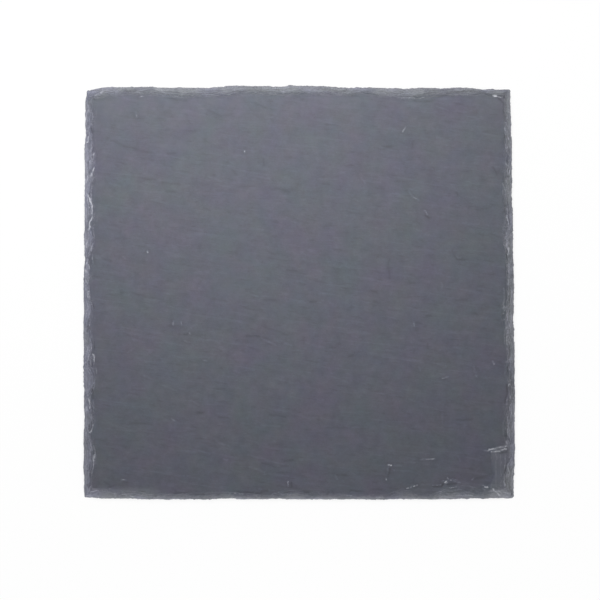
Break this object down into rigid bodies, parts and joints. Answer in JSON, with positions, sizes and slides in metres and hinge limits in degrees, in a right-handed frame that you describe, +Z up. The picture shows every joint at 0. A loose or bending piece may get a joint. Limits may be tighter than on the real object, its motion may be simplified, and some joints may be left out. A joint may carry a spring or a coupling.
{
  "type": "drink coaster",
  "caption": "Square natural slate drink coaster with a hand-chipped edge, standing on self-adhesive foam pads, to rest a glass or mug on.",
  "frame": {"origin": "on the table, under the middle of the slate's width and depth", "axes": "+Z up out of the drink face, +X to the right along the width, -Y to the front edge, which is the lower edge in the picture"},
  "size_m": [0.1028, 0.0988, 0.0072],
  "materials": {
    "slate": "natural riven cleavage face, matt, with lighter fresh chips along the edge",
    "foam": "matt closed-cell foam",
    "adhesive": "pressure-sensitive adhesive film, slightly glossy"
  },
  "bodies": {
    "root": {"slate_slab": "slate", "foot_pad_front_left": "foam", "foot_pad_front_right": "foam", "foot_pad_back_right": "foam", "foot_pad_back_left": "foam", "adhesive_disc_front_left": "adhesive", "adhesive_disc_front_right": "adhesive", "adhesive_disc_back_right": "adhesive", "adhesive_disc_back_left": "adhesive"}
  },
  "joints": []
}
